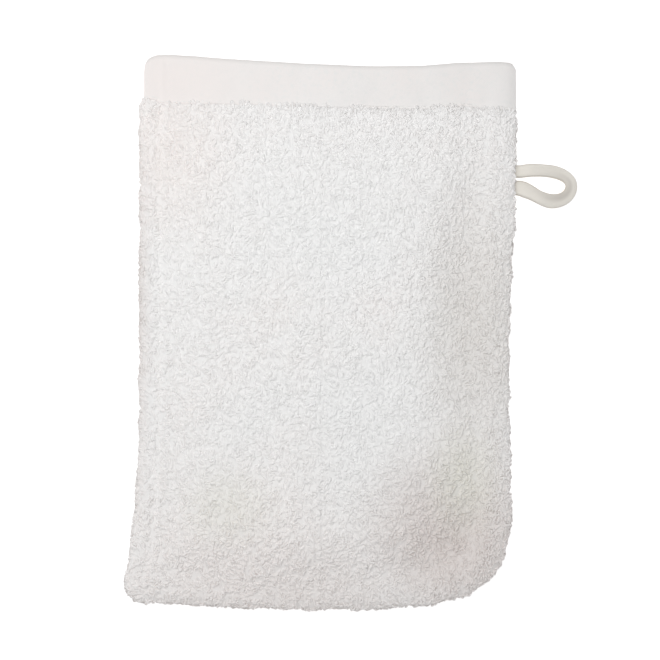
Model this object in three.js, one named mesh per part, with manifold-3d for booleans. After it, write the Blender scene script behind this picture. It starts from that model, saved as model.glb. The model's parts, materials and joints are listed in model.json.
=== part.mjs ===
// A terry wash mitt lying flat on a table: a pocket of two cloths, open at the +Y end, folded along
// its -X side and sewn along its +X side, round one large corner and along the -Y end. The mouth has
// a flat-woven hem turned inside. A doubled tape makes a hanging loop on the +X side.
// Millimetres, +Z up. The origin is under the middle of the mitt, on the surface that it lies on.

import * as THREE from "three";
import { mergeVertices } from "three/addons/utils/BufferGeometryUtils.js";
import Module from "manifold-3d";

// Driving dimensions
const THICKNESS = 12; // of the whole mitt, with the air between its cloths
const CLOTH = 3; // terry with the loops on both its faces
const GAP = 0.3; // left between pieces that touch
const FOLD_X = -71.8; // the folded side, outside
const FLARE = 6.2; // how far the folded side spreads towards the closed end
const FLARE_START_Y = -25;
const SEAM_X = 77.8; // the sewn side, outside, near the mouth
const WAIST = 3.2; // how far the sewn side draws in half-way down
const MOUTH_Y = 110.5; // the highest point of the mouth edge
const MOUTH_DIP = 4.8; // how far the mouth edge sinks in its middle
const END_Y = -110.5; // the lowest point of the closed end
const CORNER_TOP_Y = -72; // the big corner starts on the sewn side
const CORNER_END_X = 44; // and ends on the closed end

const HEM_LINE_Y = 89.5; // where the terry ends and the hem's stitches run
const HEM_SINK = 1; // the flat-woven hem lies this much lower than the terry
const HEM_PLY = 1.2;
const HEM_FOLD = 2; // the turned edge at the mouth, solid over this width
const THREAD = 0.8; // the hem's stitch row

const ALLOWANCE_IN = 3.3; // raw edge of the allowances, inwards from the seam line
const ALLOWANCE_HEIGHT = 2.4; // of one allowance, from the middle plane
const OVERLOCK = 0.8; // thread wrapped over the raw edges

const TAPE_WIDTH = 5.2;
const TAPE_THICKNESS = 2.8;
const UPPER_LEG_Y = 64.3; // the loop's two legs, where they leave the seam
const LOWER_LEG_Y = 57.7;
const LOWER_ROOT_Y = 56.7; // the lower leg turns outwards as soon as it is out of the seam
const LOOP_REACH = 99.3; // the loop's far end, on the tape's centreline
const LOOP_REST_Z = TAPE_THICKNESS / 2 + 0.2; // height of the centreline where the tape lies down

// Values that follow from them
const MID_Z = THICKNESS / 2; // the plane where the two cloths meet
const ROUND = THICKNESS / 2; // rounding of the outer edge
const BELT = 0.2; // short straight band at the middle plane
const PAST_MOUTH_Y = MOUTH_Y + 20; // solids run past the mouth before they are trimmed
const FOLD_LINE_X = FOLD_X + ROUND;
const SEAM_LINE_X = SEAM_X - ROUND;
const TAILS_END_X = SEAM_X + 0.1;
const LOOP_HINGE_X = TAILS_END_X + GAP + TAPE_THICKNESS / 2;

// Fineness of the curves
const CURVE_STEPS = 8;
const ROUNDING_STEPS = 4;
const SECTION_STEPS = 5;
const SEAM_STEPS = 48;
const TAPE_STEP = 1.4; // length of one step along the tape

const wasm = await Module();
wasm.setup();

function solidOf(geometry) {
  const bare = geometry.clone();
  bare.deleteAttribute("normal");
  bare.deleteAttribute("uv");
  const welded = mergeVertices(bare, 1e-4);
  const vertProperties = Float32Array.from(welded.attributes.position.array);
  const triVerts = Uint32Array.from(welded.index.array);
  return new wasm.Manifold(new wasm.Mesh({ numProp: 3, vertProperties, triVerts }));
}

function geometryOf(solid) {
  const mesh = solid.getMesh();
  const geometry = new THREE.BufferGeometry();
  geometry.setAttribute("position", new THREE.BufferAttribute(mesh.vertProperties, 3));
  geometry.setIndex(new THREE.BufferAttribute(mesh.triVerts, 1));
  geometry.computeVertexNormals();
  return geometry;
}

// A box between two corners
function block(low, high) {
  const size = high.map((value, axis) => value - low[axis]);
  const geometry = new THREE.BoxGeometry(...size);
  geometry.translate(...low.map((value, axis) => value + size[axis] / 2));
  return solidOf(geometry);
}

// The line that lies ROUND inside the mitt's outline. Its sewn part is also the seam line. The big
// corner runs from cornerTop to cornerEnd, and the folded side ends at foldEnd.
const cornerTop = new THREE.Vector2(SEAM_LINE_X - 2.6, CORNER_TOP_Y);
const cornerEnd = new THREE.Vector2(CORNER_END_X, END_Y + ROUND + 2.5);
const foldEnd = new THREE.Vector2(FOLD_LINE_X - FLARE, END_Y + ROUND + 4);

function seamSide(fromY) {
  return new THREE.SplineCurve([
    new THREE.Vector2(SEAM_LINE_X, fromY),
    new THREE.Vector2(SEAM_LINE_X, 58),
    new THREE.Vector2(SEAM_LINE_X - 0.7 * WAIST, 20),
    new THREE.Vector2(SEAM_LINE_X - WAIST, -14),
    new THREE.Vector2(SEAM_LINE_X - 0.75 * WAIST, -46),
    cornerTop,
  ]);
}

const bigCorner = new THREE.CubicBezierCurve(
  cornerTop,
  new THREE.Vector2(cornerTop.x, CORNER_TOP_Y - 20),
  new THREE.Vector2(cornerTop.x - 4.2, cornerEnd.y + 2),
  cornerEnd,
);

function closedEnd(toX) {
  return new THREE.CubicBezierCurve(
    cornerEnd,
    new THREE.Vector2(15, END_Y + ROUND - 1.1),
    new THREE.Vector2(-25, END_Y + ROUND - 0.7),
    new THREE.Vector2(toX, foldEnd.y - 0.8),
  );
}

function flatOutline() {
  const outline = new THREE.Shape();
  outline.curves.push(seamSide(PAST_MOUTH_Y), bigCorner, closedEnd(foldEnd.x + 1));
  outline.currentPoint.set(foldEnd.x + 1, foldEnd.y - 0.8);
  outline.quadraticCurveTo(foldEnd.x, foldEnd.y - 0.8, foldEnd.x, foldEnd.y + 0.6);
  outline.quadraticCurveTo(FOLD_LINE_X, (foldEnd.y + FLARE_START_Y) / 2, FOLD_LINE_X, FLARE_START_Y);
  outline.lineTo(FOLD_LINE_X, PAST_MOUTH_Y);
  return outline;
}

// The closed form of the lying mitt, with its surface moved inwards by depth and no mouth yet
function pillow(depth) {
  const rounding = ROUND - depth - BELT / 2;
  const geometry = new THREE.ExtrudeGeometry(flatOutline(), {
    depth: BELT,
    bevelThickness: rounding,
    bevelSize: rounding,
    bevelSegments: ROUNDING_STEPS,
    curveSegments: CURVE_STEPS,
  });
  geometry.translate(0, 0, MID_Z - BELT / 2);
  return solidOf(geometry);
}

function cloth(depth, thickness) {
  return pillow(depth).subtract(pillow(depth + thickness));
}

// Everything on one side of the middle plane, between two heights along Y
function half(side, fromY, toY) {
  const low = side === "back" ? -THICKNESS : MID_Z + GAP / 2;
  const high = side === "back" ? MID_Z - GAP / 2 : 2 * THICKNESS;
  return block([-2 * SEAM_X, fromY, low], [2 * SEAM_X, toY, high]);
}

// The hem's plan: straight below, and the sagging mouth edge with its rounded corners above
function mouthBand(lowerY, drop) {
  const left = FOLD_X + HEM_SINK;
  const right = SEAM_X - HEM_SINK;
  const top = MOUTH_Y - drop;
  const band = new THREE.Shape();
  band.moveTo(left, lowerY);
  band.lineTo(right, lowerY);
  band.lineTo(right, top - MOUTH_DIP - 4);
  band.quadraticCurveTo(right, top - 0.7 * MOUTH_DIP, right - 6, top - 0.65 * MOUTH_DIP);
  band.splineThru([
    new THREE.Vector2(38, top - MOUTH_DIP),
    new THREE.Vector2(8, top - 0.95 * MOUTH_DIP),
    new THREE.Vector2(-31, top - 0.5 * MOUTH_DIP),
    new THREE.Vector2(left + 7, top),
  ]);
  band.quadraticCurveTo(left, top, left, top - 5);
  const geometry = new THREE.ExtrudeGeometry(band, {
    depth: 2 * THICKNESS,
    bevelEnabled: false,
    curveSegments: CURVE_STEPS / 2,
  });
  geometry.translate(0, 0, -ROUND);
  return solidOf(geometry);
}

// A section swept along a route. The section's first value runs in Z, its second one sideways.
function sweep(section, route, steps) {
  return new THREE.ExtrudeGeometry(section, {
    steps,
    curveSegments: SECTION_STEPS,
    bevelEnabled: false,
    extrudePath: route,
  });
}

// The terry, one half of the pocket
function panel(side) {
  const edgeY = HEM_LINE_Y - THREAD / 2 - GAP;
  return geometryOf(
    cloth(0, CLOTH).intersect(half(side, -2 * MOUTH_Y, edgeY)).subtract(tailsRoom()),
  );
}

// The flat-woven hem, turned inside at the mouth: two plies that join at the mouth edge
function hem(side) {
  const lowerY = HEM_LINE_Y + THREAD / 2 + GAP;
  const betweenPlies = cloth(HEM_SINK + HEM_PLY, GAP).intersect(mouthBand(0, HEM_FOLD));
  const plies = cloth(HEM_SINK, 2 * HEM_PLY + GAP).intersect(mouthBand(lowerY, 0));
  return geometryOf(plies.subtract(betweenPlies).intersect(half(side, lowerY, MOUTH_Y + 1)));
}

// The lockstitch row that holds the hem, lying in the groove between hem and terry
function hemStitches(side) {
  const z = side === "back" ? HEM_SINK + THREAD : THICKNESS - HEM_SINK - THREAD;
  const rod = new THREE.CylinderGeometry(THREAD / 2, THREAD / 2, SEAM_LINE_X - FOLD_LINE_X, 8);
  rod.rotateZ(Math.PI / 2);
  rod.translate((SEAM_LINE_X + FOLD_LINE_X) / 2, HEM_LINE_Y, z);
  return rod;
}

// The seam line from under the hem, round the big corner, to near the folded side
function seamRoute() {
  const route = new THREE.CurvePath();
  for (const curve of [seamSide(HEM_LINE_Y - 3), bigCorner, closedEnd(foldEnd.x + 6)]) {
    const points = curve.getPoints(CURVE_STEPS * 2);
    route.add(new THREE.CatmullRomCurve3(points.map((p) => new THREE.Vector3(p.x, p.y, MID_Z))));
  }
  return route;
}

// One ply inside the pocket: round towards the seam, square at its raw edge
function seamAllowance(side) {
  const up = side === "back" ? 1 : -1;
  const radius = ROUND - CLOTH - GAP;
  const startAngle = Math.asin(GAP / 2 / radius);
  const endAngle = Math.asin(ALLOWANCE_HEIGHT / radius);
  const section = new THREE.Shape();
  section.moveTo((up * GAP) / 2, -ALLOWANCE_IN);
  for (let i = 0; i <= ROUNDING_STEPS; i += 1) {
    const angle = startAngle + ((endAngle - startAngle) * i) / ROUNDING_STEPS;
    section.lineTo(up * radius * Math.sin(angle), radius * Math.cos(angle));
  }
  section.lineTo(up * ALLOWANCE_HEIGHT, -ALLOWANCE_IN);
  const ply = solidOf(sweep(section, seamRoute(), SEAM_STEPS));
  return geometryOf(ply.subtract(tailsRoom()));
}

// The overlock thread over the raw edges of both allowances
function seamThread() {
  const near = ALLOWANCE_IN + GAP;
  const section = new THREE.Shape();
  section.moveTo(-ALLOWANCE_HEIGHT, -near);
  section.lineTo(-ALLOWANCE_HEIGHT, -near - OVERLOCK);
  section.lineTo(ALLOWANCE_HEIGHT, -near - OVERLOCK);
  section.lineTo(ALLOWANCE_HEIGHT, -near);
  return sweep(section, seamRoute(), SEAM_STEPS);
}

// The flattened oval of the tape
function tapeSection() {
  const section = new THREE.Shape();
  section.absellipse(0, 0, TAPE_THICKNESS / 2, TAPE_WIDTH / 2, 0, 2 * Math.PI);
  return section;
}

// The tape's two tails inside the seam, joined at their sewn ends
function loopTails() {
  const innerX = SEAM_LINE_X - ALLOWANCE_IN;
  const reach = TAPE_WIDTH / 2;
  const low = MID_Z - TAPE_THICKNESS / 2;
  const high = MID_Z + TAPE_THICKNESS / 2;
  const upper = block([innerX, UPPER_LEG_Y - reach, low], [TAILS_END_X, UPPER_LEG_Y + reach, high]);
  const lower = block([innerX, LOWER_LEG_Y - reach, low], [TAILS_END_X, LOWER_LEG_Y + reach, high]);
  const join = block([innerX, LOWER_LEG_Y, low], [innerX + 2, UPPER_LEG_Y, high]);
  return geometryOf(upper.add(lower).add(join));
}

// The way that the tails need through the terry's edge and the allowances
function tailsRoom() {
  const reach = TAPE_WIDTH / 2 + GAP;
  const height = TAPE_THICKNESS / 2 + GAP;
  return block(
    [SEAM_LINE_X - ALLOWANCE_IN - 1, LOWER_LEG_Y - reach, MID_Z - height],
    [2 * SEAM_X, UPPER_LEG_Y + reach, MID_Z + height],
  );
}

// The tape's centreline outside the seam: it sinks from the middle plane to the surface below
const loopPlan = [
  [LOOP_HINGE_X, UPPER_LEG_Y],
  [84, 64.6],
  [90.5, 64.4],
  [95.6, 63.1],
  [98.6, 60.4],
  [LOOP_REACH, 57.6],
  [98.2, 54.7],
  [95.3, 52.4],
  [91.5, 51.7],
  [87.5, 52.5],
  [83.1, 54.8],
  [LOOP_HINGE_X, LOWER_ROOT_Y],
];

function loopHeight(x) {
  const share = (x - LOOP_HINGE_X) / (LOOP_REACH - LOOP_HINGE_X);
  return THREE.MathUtils.lerp(MID_Z, LOOP_REST_Z, THREE.MathUtils.smoothstep(share, 0.25, 0.95));
}

function hangingLoop() {
  const route = new THREE.CatmullRomCurve3(
    loopPlan.map(([x, y]) => new THREE.Vector3(x, y, loopHeight(x))),
    false,
    "centripetal",
  );
  const steps = Math.round(route.getLength() / TAPE_STEP);
  const radius = TAPE_THICKNESS / 2;
  let tape = solidOf(sweep(tapeSection(), route, steps));
  for (const y of [UPPER_LEG_Y, LOWER_ROOT_Y]) {
    const knuckle = new THREE.CylinderGeometry(radius, radius, TAPE_WIDTH - 2 * GAP, 2 * SECTION_STEPS);
    knuckle.translate(LOOP_HINGE_X, y, MID_Z);
    tape = tape.add(solidOf(knuckle));
  }
  return geometryOf(tape);
}

const terry = new THREE.MeshStandardMaterial({ color: 0xf3f1ee, roughness: 0.95, metalness: 0 });
const flatWeave = new THREE.MeshStandardMaterial({ color: 0xf2efec, roughness: 0.85, metalness: 0 });
const whiteThread = new THREE.MeshStandardMaterial({ color: 0xf6f4f1, roughness: 0.6, metalness: 0 });
const creamTape = new THREE.MeshStandardMaterial({ color: 0xeae2d4, roughness: 0.85, metalness: 0 });

const mitt = new THREE.Group();

function addPiece(name, geometry, material) {
  const mesh = new THREE.Mesh(geometry, material);
  mesh.name = name;
  mitt.add(mesh);
}

for (const side of ["back", "front"]) {
  addPiece(`${side}_panel`, panel(side), terry);
  addPiece(`${side}_hem`, hem(side), flatWeave);
  addPiece(`${side}_hem_stitches`, hemStitches(side), whiteThread);
  addPiece(`${side}_seam_allowance`, seamAllowance(side), terry);
}
addPiece("seam_thread", seamThread(), whiteThread);
addPiece("loop_tails", loopTails(), creamTape);
addPiece("hanging_loop", hangingLoop(), creamTape);

export default mitt;
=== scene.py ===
"""A white terry wash mitt with a cream hanging loop, lying flat on a pale floor and seen from above.

The pocket is one terry cloth, folded on the left and sewn on the right, round one big corner and along
the closed end. Its loops are real geometry. The mouth has a flat-woven hem turned inside.
"""

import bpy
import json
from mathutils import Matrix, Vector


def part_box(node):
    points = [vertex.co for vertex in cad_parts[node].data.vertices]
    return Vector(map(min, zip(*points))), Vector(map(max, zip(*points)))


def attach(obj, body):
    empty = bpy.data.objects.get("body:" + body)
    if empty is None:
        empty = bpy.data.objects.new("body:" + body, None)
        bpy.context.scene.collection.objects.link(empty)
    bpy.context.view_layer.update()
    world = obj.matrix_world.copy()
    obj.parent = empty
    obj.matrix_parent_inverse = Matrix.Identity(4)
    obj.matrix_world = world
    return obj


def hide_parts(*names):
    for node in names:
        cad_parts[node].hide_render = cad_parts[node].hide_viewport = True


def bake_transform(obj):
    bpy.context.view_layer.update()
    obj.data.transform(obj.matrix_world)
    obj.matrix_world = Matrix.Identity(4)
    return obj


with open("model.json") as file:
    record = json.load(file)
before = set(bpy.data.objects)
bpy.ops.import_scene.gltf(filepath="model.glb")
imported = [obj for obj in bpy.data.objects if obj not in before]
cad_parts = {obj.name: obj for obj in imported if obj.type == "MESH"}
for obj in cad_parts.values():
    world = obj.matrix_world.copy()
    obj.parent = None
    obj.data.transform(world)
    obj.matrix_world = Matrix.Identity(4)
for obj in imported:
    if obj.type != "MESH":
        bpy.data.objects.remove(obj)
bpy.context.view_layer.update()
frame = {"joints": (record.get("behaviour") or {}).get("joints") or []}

import json
import math

import bpy
import numpy as np
from mathutils import Vector
from mathutils.geometry import delaunay_2d_cdt

MM = 0.001

# ---- Sizes, from the frame ----
panel_low, panel_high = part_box("front_panel")
hem_low, hem_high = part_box("front_hem")
tails_low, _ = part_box("loop_tails")
LOOP_HINGE = next(joint["pos_m"] for joint in frame["joints"] if joint["name"] == "loop_fold")

HEM_SINK = 1.0 * MM  # the hem's outer face lies this far under the terry's
ROUND = panel_high.z / 2  # rounding of the outer edge
MID = ROUND  # the plane where the two cloths meet
SEAM_LINE = panel_high.x - ROUND  # the sewn side, ROUND inside its edge
FOLD_LINE = hem_low.x - HEM_SINK + ROUND  # the folded side, the same way
END_Y = panel_low.y
MOUTH_Y = hem_high.y
HEM_LINE = (panel_high.y + hem_low.y) / 2  # where the terry ends, on the frame's straight hem
HEM_TOP = HEM_LINE + 4 * MM  # over the highest point of hem_line
MOUTH_DIP = 4.8 * MM  # how far the mouth edge sinks in its middle
FLARE = 6.2 * MM  # how far the folded side spreads towards the closed end
FLARE_START = -25 * MM
WAIST = 2.8 * MM  # how far the sewn side draws in half-way down
CORNER_TOP = -72 * MM  # the big corner starts on the sewn side
CORNER_END = 44 * MM  # and ends on the closed end
CORNER_COURSE = ((1.2, 7), (3.0, 14), (5.5, 19.5), (9.0, 23.1), (14.7, 26.0))  # inwards and down, in mm
SEAM_GROOVE = 1.3 * MM  # how deep the seam draws the edge in
EDGE_FULLNESS = 0.65 * MM  # how far the pile fills the edge out

# The cloth
GROUND_DEPTH = 1.0 * MM  # the woven ground under the loops, from the outer face
GROUND_THICK = 0.5 * MM
TUCK = 1.2 * MM  # the ground runs this far under the hem
TUCK_DEPTH = 0.7 * MM  # and dives that much to get there
INSIDE_DEPTH = GROUND_DEPTH + GROUND_THICK
YARN = 0.33 * MM  # radius of a loop's yarn
LOOP_SPACING = 1.18 * MM
DOME = 4.4 * MM  # how far the relaxed front stands up over its edges

# ---- Small maths ----


def smooth(t):
    t = np.clip(t, 0, 1)
    return t * t * (3 - 2 * t)


def bump(t):
    """1 at t = 0, falling smoothly to 0."""
    return np.exp(-np.square(t))


def bezier(points, count):
    t = np.linspace(0, 1, count)[:, None]
    last = len(points) - 1
    return sum(
        math.comb(last, i) * (1 - t) ** (last - i) * t**i * np.array(point)
        for i, point in enumerate(points)
    )


def spline(points, count):
    """A Catmull-Rom curve through the points."""
    p = np.array(points, float)
    p = np.vstack([2 * p[0] - p[1], p, 2 * p[-1] - p[-2]])
    t = np.linspace(0, len(points) - 1, count)
    k = np.minimum(t.astype(int), len(points) - 2)
    f = (t - k)[:, None]
    a, b, c, d = p[k], p[k + 1], p[k + 2], p[k + 3]
    return 0.5 * (2 * b + (c - a) * f + (2 * a - 5 * b + 4 * c - d) * f**2 + (3 * b - a - 3 * c + d) * f**3)


def lengths(line):
    return np.concatenate([[0], np.cumsum(np.linalg.norm(np.diff(line, axis=0), axis=1))])


def respaced(line, step):
    along = lengths(line)
    wanted = np.linspace(0, along[-1], max(2, int(round(along[-1] / step)) + 1))
    return np.column_stack([np.interp(wanted, along, line[:, i]) for i in range(line.shape[1])])


def ripples(x, y, wavelength, seed, waves=7):
    """Smooth irregular waves of about that wavelength, from about -1 to 1."""
    draw = np.random.default_rng(seed)
    total = np.zeros(np.broadcast(x, y).shape)
    for _ in range(waves):
        angle, phase = draw.uniform(0, 2 * math.pi, 2)
        k = 2 * math.pi / (wavelength * draw.uniform(0.75, 1.35))
        total += np.sin(k * (np.cos(angle) * x + np.sin(angle) * y) + phase)
    return total / math.sqrt(waves / 2) / 1.6


# ---- The mitt's outline, as the line ROUND inside its edge ----


def base_line():
    """The seam line from the mouth down the sewn side, round the corner and along the closed end, then up
    the folded side. Returns its points, its outward normals, and how much of it is seam (1) or fold (0)."""
    top = MOUTH_Y + 3 * MM
    corner_top = (SEAM_LINE - 1.3 * MM, CORNER_TOP)
    low = END_Y + ROUND + 0.45 * MM
    corner_end = (CORNER_END, low + 2.2 * MM)
    fold_end = (FOLD_LINE - FLARE, low + 4.1 * MM)
    fold_end_low = fold_end[1] - 0.8 * MM
    side = spline(
        [
            (SEAM_LINE, top),
            (SEAM_LINE, 58 * MM),
            (SEAM_LINE - 0.7 * WAIST, 20 * MM),
            (SEAM_LINE - WAIST, -14 * MM),
            (SEAM_LINE - 0.75 * WAIST, -46 * MM),
            corner_top,
        ],
        200,
    )
    course = [(corner_top[0] - back * MM, CORNER_TOP - down * MM) for back, down in CORNER_COURSE]
    corner = spline([corner_top, *course, corner_end], 60)
    turn_start = (fold_end[0] + MM, fold_end_low)
    end = bezier([corner_end, (15 * MM, low - 1.1 * MM), (-25 * MM, low - 0.2 * MM), turn_start], 120)
    turn = bezier([turn_start, (fold_end[0], fold_end_low), (fold_end[0], fold_end[1] + 0.6 * MM)], 12)
    flare = bezier([turn[-1], (FOLD_LINE, (fold_end[1] + FLARE_START) / 2), (FOLD_LINE, FLARE_START)], 80)
    straight = np.array([(FOLD_LINE, FLARE_START), (FOLD_LINE, top)])
    line = respaced(np.vstack([side, corner[1:], end[1:], turn[1:], flare[1:], straight[1:]]), MM)
    along = np.gradient(line, axis=0)
    along /= np.linalg.norm(along, axis=1)[:, None]
    outward = np.column_stack([-along[:, 1], along[:, 0]])
    sewn_length = lengths(np.vstack([side, corner[1:], end[1:]]))[-1]
    sewn = 1 - smooth((lengths(line) - sewn_length) / (4 * MM))
    return line, outward, sewn


BASE, BASE_OUT, BASE_SEWN = base_line()
BASE_AT = lengths(BASE)
OUTER_AT = lengths(BASE + 0.8 * ROUND * BASE_OUT)  # the same places, measured along the outer edge
EDGE_TURNS = np.linspace(0, math.pi / 2, 9)  # round the edge, from the middle plane to the flat face


def base_place(at):
    """Points and outward directions on the base line, at lengths along it."""
    points = np.column_stack([np.interp(at, BASE_AT, BASE[:, i]) for i in range(2)])
    out = np.column_stack([np.interp(at, BASE_AT, BASE_OUT[:, i]) for i in range(2)])
    return points, out / np.linalg.norm(out, axis=1)[:, None]


def mouth_edge(x):
    """Height along Y of the mouth's turned edge."""
    top = MOUTH_Y - 0.6 * MM
    points = np.array(
        [
            (hem_low.x + 0.6 * MM, top - 5.6 * MM),
            (hem_low.x + 0.9 * MM, top - 3.4 * MM),
            (hem_low.x + 2.2 * MM, top - 1.7 * MM),
            (hem_low.x + 5 * MM, top - 0.7 * MM),
            (hem_low.x + 10.5 * MM, top - 0.2 * MM),
            (-31 * MM, top - 0.5 * MOUTH_DIP),
            (8 * MM, top - 0.95 * MOUTH_DIP),
            (38 * MM, top - MOUTH_DIP),
            (56 * MM, top - 0.72 * MOUTH_DIP),
            (hem_high.x - 4 * MM, top - 0.66 * MOUTH_DIP),
            (hem_high.x - 1.1 * MM, top - 0.95 * MOUTH_DIP),
            (hem_high.x, top - 1.7 * MOUTH_DIP),
        ]
    )
    fine = spline(points, 400)
    order = np.argsort(fine[:, 0])
    return np.interp(x, fine[order, 0], fine[order, 1])


def hem_line(x):
    """Height along Y of the hem's lower edge. It sinks with the mouth, so that the hem keeps its depth, and
    it steps up on the folded edge."""
    sunk = 2.1 * MM * smooth((x + 50 * MM) / (85 * MM)) - 1.2 * MM * bump((x - 56 * MM) / (9 * MM))
    step = 2.0 * MM * (1 - smooth((x - FOLD_LINE) / (4 * MM)))
    return HEM_LINE + 1.2 * MM - sunk + step


def inside(points, polygon):
    """Which points lie in a polygon."""
    x, y = points[:, 0], points[:, 1]
    found = np.zeros(len(points), bool)
    for (x0, y0), (x1, y1) in zip(polygon, np.roll(polygon, -1, axis=0)):
        if y0 == y1:
            continue
        crosses = (y0 > y) != (y1 > y)
        found ^= crosses & (x < (x1 - x0) * (y - y0) / (y1 - y0) + x0)
    return found


def edge_distance(points):
    """How far from the base line each point lies, and the index of the nearest place on it."""
    far = np.full(len(points), np.inf)
    near = np.zeros(len(points), int)
    batch = 4000  # keeps the table of distances small
    for first in range(0, len(points), batch):
        part = slice(first, first + batch)
        away = np.linalg.norm(points[part, None, :] - BASE[None, :, :], axis=2)
        near[part] = away.argmin(axis=1)
        far[part] = away.min(axis=1)
    return far, near


# ---- Relief of the lying cloth over the flat face of the frame ----


def front_relief(x, y):
    """How far the front's outer face stands over its flat edge height: the dome of the relaxed cloth, less a
    long hollow near the sewn side and the slack big corner, with a crease along the fold, a ridge along the
    seam and waves."""
    shape = np.shape(x)
    points = np.column_stack([np.ravel(x), np.ravel(y)])
    edge, near = edge_distance(points)
    sewn = BASE_SEWN[near]
    x, y = points[:, 0], points[:, 1]
    rise = smooth(edge / (26 * MM)) * (0.4 + 0.6 * smooth((MOUTH_Y - y) / (60 * MM)))
    across = x - 55 * MM - 0.1 * (y - 30 * MM)
    hollow = 3.6 * MM * bump(across / (11 * MM)) * bump((y - 18 * MM) / (52 * MM))
    right, up = x - 50 * MM, y + 82 * MM
    down = -0.55 * right - 0.84 * up
    over = 0.84 * right - 0.55 * up
    slack = 5.0 * MM * bump(np.hypot(down / (27 * MM), over / (15 * MM))) * smooth(edge / (9 * MM))
    crease = 0.7 * MM * bump((edge - 3 * MM) / (1.6 * MM)) * (1 - sewn)
    ridge = 0.9 * MM * bump((edge - 2 * MM) / (4 * MM)) * sewn * smooth((y + 102 * MM) / (14 * MM))
    waves = 0.4 * MM * ripples(x, y, 55 * MM, 3) + 0.22 * MM * ripples(x, y, 22 * MM, 5)
    waves += 0.1 * MM * ripples(x, y, 9 * MM, 8)
    return (DOME * rise - hollow - slack - crease + ridge + waves * smooth(edge / (8 * MM))).reshape(shape)


# ---- Surfaces at a depth under the outer face; side is +1 for the front and -1 for the back ----


def edge_ring(along, turn, depth, side):
    """Points and normals on the rounded edge: along is the length on the base line, and turn runs from 0 at
    the middle plane to a quarter circle at the flat face."""
    plan, out = base_place(along)
    x, y = plan.T
    sewn = np.interp(along, BASE_AT, BASE_SEWN)
    radius = ROUND - depth
    uneven = 0.2 * MM * ripples(x, y, 9 * MM, 21) + 0.25 * MM * ripples(x, y, 19 * MM, 22)
    groove = SEAM_GROOVE * sewn * bump(turn / 0.3)
    reach = (radius + uneven - groove + EDGE_FULLNESS) * np.cos(turn)
    lift = radius * np.sin(turn)
    if side > 0:
        lift = lift + front_relief(x, y) * smooth(turn / (math.pi / 2))
    points = np.column_stack([x + out[:, 0] * reach, y + out[:, 1] * reach, MID + side * lift])
    normals = np.column_stack([out * np.cos(turn)[:, None], side * np.sin(turn)])
    return points, normals


def face(x, y, depth, side):
    """Points and normals on the broad face."""
    step = 0.5 * MM
    lift = ROUND - depth
    if side > 0:
        here = front_relief(x, y)
        slope_x = (front_relief(x + step, y) - here) / step
        slope_y = (front_relief(x, y + step) - here) / step
    else:
        here = slope_x = slope_y = np.zeros(len(x))
    points = np.column_stack([x, y, MID + side * (lift + here)])
    normals = np.column_stack([-slope_x, -slope_y, np.full(len(x), side)])
    return points, normals / np.linalg.norm(normals, axis=1)[:, None]


def face_polygon():
    """The outline of the broad face, cut straight across at HEM_TOP."""
    line = BASE[BASE[:, 1] < HEM_TOP]
    return np.vstack([[line[0][0], HEM_TOP], line, [line[-1][0], HEM_TOP]])


# ---- Meshes ----


def piece_from(name, points, quads, triangles=None):
    """A smooth mesh object from arrays."""
    mesh = bpy.data.meshes.new(name)
    quads = np.asarray(quads, np.int32).reshape(-1, 4)
    triangles = np.zeros((0, 3), np.int32) if triangles is None else np.asarray(triangles, np.int32)
    mesh.vertices.add(len(points))
    mesh.vertices.foreach_set("co", np.asarray(points, np.float32).ravel())
    mesh.loops.add(quads.size + triangles.size)
    mesh.loops.foreach_set("vertex_index", np.concatenate([quads.ravel(), triangles.ravel()]))
    mesh.polygons.add(len(quads) + len(triangles))
    starts = np.concatenate([np.arange(len(quads)) * 4, quads.size + np.arange(len(triangles)) * 3])
    mesh.polygons.foreach_set("loop_start", starts.astype(np.int32))
    mesh.update(calc_edges=True)
    mesh.validate()
    mesh.polygons.foreach_set("use_smooth", np.ones(len(mesh.polygons), bool))
    obj = bpy.data.objects.new(name, mesh)
    bpy.context.scene.collection.objects.link(obj)
    return obj


def marked(piece, name, values):
    """Keeps a value on each point for the material."""
    attribute = piece.data.attributes.new(name, "FLOAT", "POINT")
    attribute.data.foreach_set("value", np.asarray(values, np.float32))


def grid_quads(rows, columns, closed=False):
    """Quads of a grid of points, rows by columns. A closed grid joins its last column to its first."""
    r = np.arange(rows - 1)[:, None]
    c = np.arange(columns if closed else columns - 1)[None, :]
    n = (c + 1) % columns
    a, b = r * columns + c, r * columns + n
    return np.stack([a, b, b + columns, a + columns], axis=-1).reshape(-1, 4)


def capped_quads(rings):
    """Quads of a four-sided tube with both ends capped."""
    last = (rings - 1) * 4
    caps = [[3, 2, 1, 0], [last, last + 1, last + 2, last + 3]]
    return np.vstack([grid_quads(rings, 4, closed=True), caps])


def tubes(centres, radius, across):
    """Many closed four-sided tubes at once. centres is (tubes, rings, 3), radius (tubes, rings), and across
    (tubes, 3) is a direction that lies off each tube's own plane. Returns points and quads."""
    count, rings, _ = centres.shape
    sides = 4
    along = np.gradient(centres, axis=1)
    along /= np.linalg.norm(along, axis=2, keepdims=True) + 1e-12
    one = np.broadcast_to(across[:, None, :], centres.shape)
    two = np.cross(along, one)
    two /= np.linalg.norm(two, axis=2, keepdims=True) + 1e-12
    one = np.cross(two, along)
    angle = 2 * math.pi * (np.arange(sides) + 0.5) / sides
    ring = one[:, :, None, :] * np.cos(angle)[:, None] + two[:, :, None, :] * np.sin(angle)[:, None]
    points = centres[:, :, None, :] + ring * radius[:, :, None, None]
    quads = capped_quads(rings)[None] + (np.arange(count) * rings * sides)[:, None, None]
    return points.reshape(-1, 3), quads.reshape(-1, 4)


# ---- Materials ----


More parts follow.
